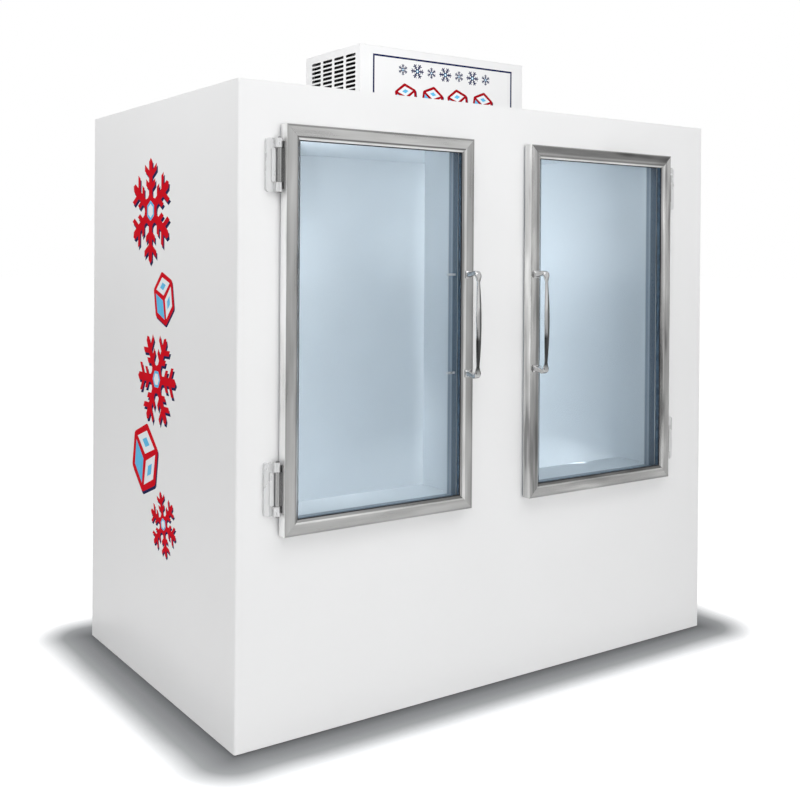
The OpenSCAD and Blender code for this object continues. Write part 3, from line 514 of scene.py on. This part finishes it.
# ------------------------------------------------------------------ door handles

GRIP_CLEAR, GRIP_BOW, GRIP_THICK = 48 * MM, 5 * MM, 8 * MM
# Widths in mm: of the grip in its middle, at its neck and at its end, and of the turn at the foot
GRIP_WIDE, NECK_WIDE, END_WIDE, TURN_WIDE = 19.5, 9, 24, 20.4
FLARE_LEAD = 4 * MM                              # below the neck, where the grip starts to widen
HANDLE_HALF = 164 * MM
NECK = 130 * MM                                  # from the middle of the grip to its narrowest place
FOOT_Z = 149 * MM
FOOT_RISE, FOOT_DEEP = 6 * MM, 36                # how far a foot climbs, over that many mm outwards
FOOT_THICK, END_THICK = 14, 8                    # mm, where the turn starts and where it ends
TURN_RADIUS = 9.5 * MM
TURN_STEPS, GRIP_STEPS = 7, 39
# Distance from the rail, width and height of a foot's sections, in mm
FOOT_SECTIONS = ((0.0, 26, 24), (3.0, 26, 24), (4.0, 24.2, 22.2), (4.2, 19.5, 18.5),
                 (6.5, 18.2, 17.4), (14, 17.6, 16.4), (26, 18.0, 15.2), (FOOT_DEEP, 19.6, FOOT_THICK))
FLANGE_DEEP = 5                                  # mm, of the nearly square flange at its root
# Power of the outline: nearly square flange, rounded foot, flat oval at the grip
FLANGE_POWER, FOOT_POWER, GRIP_POWER = 7.0, 4.5, 2.3
STRAP = Vector((34 * MM, 3 * MM, 7 * MM))        # size of a clamp strap
# Middle of a strap from the handle's own, towards the middle of the door, and from the back of the frame
STRAP_INWARDS, STRAP_BEHIND = 39 * MM, 1.7 * MM
STRAP_ROUND = 0.6 * MM


def oval(width, thick, power, count=28):
    """A rounded section: an ellipse at power 2, nearer a rectangle above."""
    points = []
    for k in range(count):
        a = 2 * math.pi * k / count
        c, s = math.cos(a), math.sin(a)
        points.append((math.copysign(abs(c) ** (2 / power), c) * width / 2,
                       math.copysign(abs(s) ** (2 / power), s) * thick / 2))
    return points


def handle_stations():
    """Upper half of a handle from its foot to its middle: offset out and up, slope, section."""
    out = []
    for y, width, thick in FOOT_SECTIONS:
        rise = FOOT_Z + FOOT_RISE * min(1.0, y / FOOT_DEEP) ** 1.5
        power = FLANGE_POWER if y < FLANGE_DEEP else FOOT_POWER
        out.append((y * MM, rise, 0.0, width * MM, thick * MM, power))
    end_y = GRIP_CLEAR + GRIP_THICK / 2 - GRIP_BOW * 0.82
    start = FOOT_Z + FOOT_RISE - TURN_RADIUS
    for k in range(1, TURN_STEPS + 1):
        share = k / TURN_STEPS
        a = math.radians(90) * share
        y, z = end_y - TURN_RADIUS * (1 - math.sin(a)), start + TURN_RADIUS * math.cos(a)
        width = TURN_WIDE + (END_WIDE - TURN_WIDE) * share ** 2
        thick = FOOT_THICK + (END_THICK - FOOT_THICK) * share
        out.append((y, z, a, width * MM, thick * MM, FOOT_POWER + (GRIP_POWER - FOOT_POWER) * share))
    for k in range(1, GRIP_STEPS + 1):
        z = start * (1 - k / GRIP_STEPS)
        y = GRIP_CLEAR + GRIP_THICK / 2 - GRIP_BOW * (z / HANDLE_HALF) ** 2
        lens = GRIP_WIDE - (GRIP_WIDE - NECK_WIDE) * (z / NECK) ** 2
        flare = max(0.0, (z - NECK + FLARE_LEAD) / (start - NECK + FLARE_LEAD))
        width = max(lens, NECK_WIDE) if flare <= 0 else NECK_WIDE + (END_WIDE - NECK_WIDE) * flare
        out.append((y, z, math.radians(90), width * MM, GRIP_THICK, GRIP_POWER))
    return out


def door_handle(side, inner, body):
    """Bowed grip with spread ends on two feet, and the clamp straps behind the glass edge.

    inner is 1 where the handle's rail is the door's right one, and -1 where it is the left one.
    """
    low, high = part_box(side + "_door_frame")
    x = high.x - RAIL_WIDE / 2 if inner > 0 else low.x + RAIL_WIDE / 2
    origin = Vector((x, low.y, (low.z + high.z) / 2))
    upper = handle_stations()
    lower = [(y, -z, -a, w, t, n) for y, z, a, w, t, n in reversed(upper[:-1])]
    bm = bmesh.new()
    rings = []
    for y, z, a, width, thick, power in upper + lower:
        sign = 1 if z > 0 or (z == 0 and a >= 0) else -1
        across = Vector((0, -math.sin(abs(a)), sign * math.cos(a)))
        centre = origin + Vector((0, -y, z))
        rings.append([bm.verts.new(centre + Vector((u, 0, 0)) + across * v)
                      for u, v in oval(width, thick, power)])
    for one, two in zip(rings, rings[1:]):
        for k in range(len(one)):
            j = (k + 1) % len(one)
            bm.faces.new((one[k], one[j], two[j], two[k]))
    bm.faces.new(rings[0])
    bm.faces.new(rings[-1])
    for f in bm.faces:
        f.smooth = len(f.verts) == 4
    grip_faces = len(bm.faces)
    for end in (-1, 1):
        centre = Vector((x - inner * STRAP_INWARDS, high.y + STRAP_BEHIND, origin.z + end * FOOT_Z))
        made = bmesh.ops.create_cube(bm, size=1)["verts"]
        for vert in made:
            vert.co = centre + vert.co * STRAP
        edges = {e for vert in made for e in vert.link_edges}
        bmesh.ops.bevel(bm, geom=list(edges), offset=STRAP_ROUND, segments=2, affect="EDGES")
    for f in list(bm.faces)[grip_faces:]:
        f.material_index = 1
    painted_reflection_chrome = chrome_with_painted_reflection(side + "_chrome", x, origin.z)
    piece = mesh_object(side + "_pull", bm, [painted_reflection_chrome, MATERIALS["cast_plate"]], body)
    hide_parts(side + "_handle")


# ------------------------------------------------------------------ printed artwork

def vinyl(name, colour, spread=0.1):
    return moulded(name, colour, (0.5, 0.6), 300, 0.00001, spread, 0.015)


PRINTS = [
    MATERIALS["white_enamel"],
    vinyl("vinyl_navy", (0.012, 0.018, 0.085)),
    vinyl("vinyl_red", (0.69, 0.003, 0.014)),
    vinyl("vinyl_blue", (0.15, 0.56, 0.88)),
    vinyl("vinyl_white", (0.88, 0.91, 0.94), 0.03),
    vinyl("vinyl_deep_red", (0.40, 0.003, 0.010)),
]
SHEET, NAVY, RED, BLUE, WHITE, DEEP_RED = range(6)


def anticlockwise(points):
    area = sum(x0 * y1 - x1 * y0 for (x0, y0), (x1, y1) in zip(points, points[1:] + points[:1]))
    return points if area > 0 else points[::-1]


def printed_sheet(name, node, face, prints):
    """The flat sheet of a node with its artwork in the plane of its outer face."""
    low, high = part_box(node)
    u0, u1 = sorted((corner - face.origin).dot(face.right) for corner in (low, high))
    thick = abs((high - low).dot(face.out))
    sheet = [(u0, low.z), (u1, low.z), (u1, high.z), (u0, high.z)]
    outlines = [(SHEET, sheet)] + [(colour, anticlockwise(outline)) for colour, outline in prints]
    points, rings = [], []
    for _, outline in outlines:
        rings.append(list(range(len(points), len(points) + len(outline))))
        points += [Vector(p) for p in outline]
    points, _, triangles, _, _, sources = delaunay_2d_cdt(points, [], rings, 1, 1e-7)
    bm = bmesh.new()
    front = [bm.verts.new(face.at(*p)) for p in points]
    for corners, source in zip(triangles, sources):
        bm.faces.new([front[k] for k in corners]).material_index = outlines[max(source)][0]
    rim = [edge for edge in bm.edges if edge.is_boundary]
    made = bmesh.ops.extrude_edge_only(bm, edges=rim)["geom"]
    back = [v for v in made if isinstance(v, bmesh.types.BMVert)]
    bmesh.ops.translate(bm, verts=back, vec=-face.out * thick)
    bmesh.ops.edgeloop_fill(bm, edges=[edge for edge in bm.edges if edge.is_boundary])
    for f in bm.faces:
        if any(v in back for v in f.verts):
            f.material_index = SHEET
    piece = mesh_object(name, bm, PRINTS, "cabinet")
    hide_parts(node)


def rotate(points, degrees):
    a = math.radians(degrees)
    return [(x * math.cos(a) - y * math.sin(a), x * math.sin(a) + y * math.cos(a)) for x, y in points]


def flake_outline():
    """Outline of a six-armed ice crystal of radius 1, one arm up."""
    half = 0.085                                 # of an arm's width
    lean = (math.sin(math.radians(60)), math.cos(math.radians(60)))
    thick = 0.13
    side = [(0.14, 0.2425), (half, 0.30)]        # from the notch between two arms outwards
    for start, length in ((0.40, 0.16), (0.64, 0.24)):
        side += [
            (half, start),
            (half + length * lean[0], start + length * lean[1]),
            (half + length * lean[0], start + length * lean[1] + thick),
            (half, start + thick),
        ]
    side += [(half, 0.93), (0, 1.0)]
    arm = side + [(-x, y) for x, y in reversed(side[1:-1])]
    return [p for k in range(6) for p in rotate(arm, 60 * k)]


def hexagon(radius=1.0, corner=0.16):
    """A hexagon with a corner up, its corners rounded by short arcs."""
    points = []
    for k in range(6):
        middle = math.radians(90 - 60 * k)
        cx, cy = (math.cos(middle) * (radius - corner), math.sin(middle) * (radius - corner))
        for step in range(-2, 3):
            a = middle - math.radians(15 * step)
            points.append((cx + corner * math.cos(a), cy + corner * math.sin(a)))
    return points


def rhombus(turn, size=0.80):
    """One face of the cube drawn in a hexagon, taken in towards its own middle."""
    wide = math.sin(math.radians(60))
    face = [(0, 1.0), (wide, 0.5), (0, 0.0), (-wide, 0.5)]
    mid = (0, 0.5)
    inner = [(mid[0] + (x - mid[0]) * size, mid[1] + (y - mid[1]) * size * 0.94) for x, y in face]
    return rotate(inner, turn)


def placed(outline, u, v, size, turn=0.0):
    return [(u + x * size, v + y * size) for x, y in rotate(outline, turn)]


def flake(u, v, size, colour=RED, turn=0.0):
    """An ice crystal with a pale middle and, unless it is navy, a navy shadow to its lower right."""
    drop = size * 0.055
    shadow = [(NAVY, placed(flake_outline(), u + drop, v - drop, size, turn))] if colour != NAVY else []
    return shadow + [
        (colour, placed(flake_outline(), u, v, size, turn)),
        (BLUE, placed(hexagon(0.19, 0.03), u, v, size, turn)),
        (WHITE, placed(hexagon(0.13, 0.02), u, v, size, turn)),
    ]


def ice_cube(u, v, size, turn=0.0, edge=RED):
    """A cube of ice with coloured edges, pale faces and a navy shadow to its lower right."""
    drop = size * 0.07
    prints = [
        (NAVY, placed(hexagon(), u + drop, v - drop, size, turn)),
        (edge, placed(hexagon(), u, v, size, turn)),
    ]
    for k, colour in enumerate((WHITE, BLUE, WHITE)):
        prints.append((colour, placed(rhombus(120 * k), u, v, size * 0.92, turn)))
    for k in (0, 2):
        prints.append((BLUE, placed(rhombus(120 * k, 0.34), u, v, size * 0.92, turn)))
    return prints


def side_prints():
    """A column of ice crystals and cubes, from the height of a shopper's eye downwards."""
    return (
        flake(-0.035, 1.475, 0.165)
        + ice_cube(0.075, 1.205, 0.082, 12)
        + flake(0.020, 0.955, 0.150, turn=30)
        + ice_cube(-0.070, 0.700, 0.110, -10)
        + flake(0.080, 0.520, 0.100, turn=15)
    )


def sign_prints():
    """A thin frame round the sign face, a row of small crystals and a row of cubes."""
    low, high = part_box("sign_panel")
    margin_side, margin_top, margin_foot, line = 56 * MM, 29 * MM, 30 * MM, 7 * MM
    half_w = (high.x - low.x) / 2 - margin_side
    top, foot = high.z - margin_top, low.z + margin_foot
    prints = [(NAVY, [(-half_w, foot), (half_w, foot), (half_w, top), (-half_w, top)])]
    half_w, foot, top = half_w - line, foot + line, top - line
    prints.append((SHEET, [(-half_w, foot), (half_w, foot), (half_w, top), (-half_w, top)]))
    crystal, crystal_step, crystal_row = 30 * MM, 66 * MM, top - 39 * MM
    for k in range(7):
        size = crystal if k % 2 else crystal * 0.72
        prints += flake((k - 3) * crystal_step, crystal_row, size, NAVY, 30 * (k % 2))
    cube, cube_step, cube_row = 54 * MM, 122 * MM, top - 143 * MM
    for k in range(4):
        prints += ice_cube((k - 1.5) * cube_step, cube_row, cube, 8 * (-1) ** k, DEEP_RED)
    return prints


# ------------------------------------------------------------------ studio

SKY_LIGHT = 0.465
FLOOR_TONE = 0.80
FLOOR_HALF = 60                                  # metres, half its side
GLOW_SEEN, GLOW_MIRRORED = 0.55, 0.15            # of the floor, to the camera and to any other ray
SHADOW_REACH = 0.32                              # metres over which the contact shadow fades
SHADOW_TONES = ((0.0, (0.115, 0.119, 0.123)), (0.30, (0.25, 0.256, 0.262)), (0.53, (0.67, 0.677, 0.683)),
                (0.67, (0.95, 0.952, 0.954)), (0.80, (1, 1, 1)))


def seen(tree):
    """1 for rays from the camera and for those that mirrors and glass send on."""
    path = add(tree, "LightPath").outputs
    first = maths(tree, "MAXIMUM", path["Is Camera Ray"], path["Is Glossy Ray"])
    return maths(tree, "MAXIMUM", first, path["Is Transmission Ray"])


def make_world():
    world = bpy.data.worlds.new("studio")
    bpy.context.scene.world = world
    world.use_nodes = True
    tree = world.node_tree
    tree.nodes.clear()
    light = add(tree, "Background", {"Color": (1, 1, 1, 1), "Strength": SKY_LIGHT})
    white = add(tree, "Background", {"Color": (1, 1, 1, 1), "Strength": 1.0})
    both = add(tree, "MixShader", {0: seen(tree), 1: light.outputs[0], 2: white.outputs[0]})
    out = add(tree, "OutputWorld")
    tree.links.new(both.outputs[0], out.inputs["Surface"])


def make_floor():
    """A pale floor, white to the camera but for the soft shadow round the object's foot, painted from the
    distance to the base and from ambient occlusion.
    """
    mat, tree, out = new_tree("floor")
    low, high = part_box("base_pan")
    at = add(tree, "SeparateXYZ", {"Vector": place(tree)}).outputs
    past = []
    for axis in (0, 1):
        mid, half = (low[axis] + high[axis]) / 2, (high[axis] - low[axis]) / 2
        reach = maths(tree, "ABSOLUTE", maths(tree, "SUBTRACT", at[axis], mid))
        past.append(maths(tree, "MAXIMUM", maths(tree, "SUBTRACT", reach, half), 0.0))
    away = maths(tree, "SQRT", maths(tree, "ADD", maths(tree, "MULTIPLY", past[0], past[0]),
                                     maths(tree, "MULTIPLY", past[1], past[1])))
    near = add(tree, "AmbientOcclusion", {"Distance": SHADOW_REACH}, samples=16).outputs["AO"]
    open_sky = between(tree, near, 0.0, 1.0, 0.5, 0.97)
    clear = maths(tree, "MINIMUM", maths(tree, "DIVIDE", away, SHADOW_REACH), open_sky)
    tone = tones(tree, clear, *SHADOW_TONES)
    lit = add(tree, "BsdfDiffuse", {"Color": tone})
    direct = add(tree, "LightPath").outputs["Is Camera Ray"]
    glow = add(tree, "Emission", {
        "Color": tone,
        "Strength": between(tree, direct, GLOW_MIRRORED, GLOW_SEEN, 0.0, 1.0),
    })
    both = add(tree, "AddShader", {0: lit.outputs[0], 1: glow.outputs[0]})
    plain = add(tree, "BsdfDiffuse", {"Color": (FLOOR_TONE, FLOOR_TONE, FLOOR_TONE, 1)})
    shader = add(tree, "MixShader", {0: seen(tree), 1: plain.outputs[0], 2: both.outputs[0]})
    close(tree, out, shader.outputs[0])
    panel("floor", mat, (0, 0, 0), (0, 0, 1), FLOOR_HALF, FLOOR_HALF)


def panel(name, mat, at, facing, half_wide, half_high):
    """A flat rectangle facing that way."""
    bm = bmesh.new()
    corners = [(-half_wide, -half_high), (half_wide, -half_high),
               (half_wide, half_high), (-half_wide, half_high)]
    bm.faces.new([bm.verts.new((x, y, 0)) for x, y in corners])
    mesh = bpy.data.meshes.new(name)
    bm.to_mesh(mesh)
    bm.free()
    mesh.materials.append(mat)
    obj = bpy.data.objects.new(name, mesh)
    bpy.context.scene.collection.objects.link(obj)
    obj.location = at
    obj.rotation_euler = Vector(facing).to_track_quat("Z", "Y").to_euler()
    return obj


# Where each dark screen stands, half its width and height, and its tone
FLAGS = [
    ((5.0, -1.9, 1.3), 1.2, 2.3, 0.06),
    ((-0.5, -5.3, 0.35), 1.5, 0.40, 0.05),
    ((-3.6, -5.0, 1.3), 0.7, 2.2, 0.30),
    ((-6.0, -1.2, 1.3), 0.5, 2.2, 0.30),
]
FLAG_AIM = Vector((0, 0, 1.2))


def make_flags():
    """Dark screens that only polished metal shows, as beside a real studio table."""
    for k, (at, half_wide, half_high, tone) in enumerate(FLAGS):
        mat, tree, out = new_tree(f"flag_{k}")
        dim = greys(tree, noise(tree, 1.5, 2), ((0.3, tone * 0.6), (0.7, tone)))
        close(tree, out, add(tree, "Emission", {"Color": dim, "Strength": 1.0}).outputs[0])
        flag = panel(f"flag_{k}", mat, at, FLAG_AIM - Vector(at), half_wide, half_high)
        flag.visible_camera = False
        flag.visible_diffuse = False
        flag.visible_shadow = False
        flag.visible_transmission = False


# Name, place, aim, size, power in watts and colour of each lamp
LAMPS = [
    ("key", (-2.3, -2.9, 3.5), (-0.3, -0.4, 1.2), (2.2, 2.2), 34, (1, 1, 1)),
    ("top", (0.6, -2.4, 3.9), (0.3, 0.15, 1.95), (2.0, 1.4), 22.5, (1, 1, 1)),
    ("low", (-3.2, 0.4, 0.35), (-0.9, 0.2, 0.5), (2.0, 0.5), 5, (1, 1, 1)),
    ("front", (-0.2, -4.2, 1.2), (0.1, -0.5, 0.9), (2.6, 1.2), 31, (1, 1, 1)),
    ("over", (-1.6, -0.2, 3.6), (-0.95, 0.0, 1.2), (1.6, 0.6), 28.5, (1, 1, 1)),
]
COOL = (0.97, 0.985, 1.0)
INSIDE_LAMPS = [
    ("left_upper", (-0.78, -0.32, 1.58), (-0.24, 0.10, 1.66), (0.06, 0.20), 1.5, COOL),
    ("left_lower", (-0.78, -0.32, 0.40), (-0.34, 0.54, 0.40), (0.06, 0.30), 3.5, COOL),
    ("left_high", (-0.45, 0.00, 1.36), (-0.26, 0.54, 1.62), (0.6, 0.4), 2.3, COOL),
    ("left_floor", (-0.50, -0.05, 1.0), (-0.50, 0.05, 0.0), (0.5, 0.4), 1.4, COOL),
    ("left_mid", (-0.25, -0.20, 1.10), (-0.60, 0.5, 1.10), (0.06, 1.2), 0.1, COOL),
    ("right_header", (0.42, -0.40, 1.685), (0.42, -0.36, 0.6), (0.5, 0.12), 0.5, COOL),
    ("right_deep", (0.45, 0.30, 0.98), (0.865, 0.42, 0.98), (0.06, 1.44), 1.25, COOL),
    ("right_floor", (0.48, 0.00, 0.60), (0.50, 0.05, 0.0), (0.5, 0.4), 1.2, COOL),
    ("right_top", (0.40, 0.05, 1.35), (0.75, 0.30, 1.66), (0.3, 0.3), 0.75, COOL),
]


def lamp(name, at, aim, size, power, colour):
    data = bpy.data.lights.new(name, "AREA")
    data.shape = "RECTANGLE"
    data.size, data.size_y = size
    data.energy = power
    data.color = colour
    light = bpy.data.objects.new(name, data)
    bpy.context.scene.collection.objects.link(light)
    light.location = at
    light.rotation_euler = (Vector(aim) - Vector(at)).to_track_quat("-Z", "Y").to_euler()
    return light


def make_lamps():
    """The studio's lamps, of which the front one isn't mirrored, and those behind the doors."""
    for row in LAMPS:
        lamp(*row).visible_glossy = row[0] != "front"
    for row in INSIDE_LAMPS:
        tube = lamp(*row)
        tube.visible_camera = False
        tube.visible_glossy = False


# ------------------------------------------------------------------ the scene

make_camera()
dress_nodes()

door_handle("left", 1, "left_door")
door_handle("right", -1, "right_door")

left_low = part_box("left_side_panel")[0]
right_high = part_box("right_side_panel")[1]
mid_y = 12 * MM                                  # of the artwork's column
printed_sheet("printed_left_side", "left_side_panel",
              Face((left_low.x, mid_y, 0), (0, -1, 0), (-1, 0, 0)), side_prints())
printed_sheet("printed_right_side", "right_side_panel",
              Face((right_high.x, mid_y, 0), (0, 1, 0), (1, 0, 0)), side_prints())
sign_low, sign_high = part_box("sign_panel")
printed_sheet("printed_sign", "sign_panel",
              Face(((sign_low.x + sign_high.x) / 2, sign_low.y, 0), (1, 0, 0), (0, -1, 0)), sign_prints())

make_world()
make_floor()
make_flags()
make_lamps()

settings = bpy.context.scene.view_settings
settings.view_transform = "Standard"
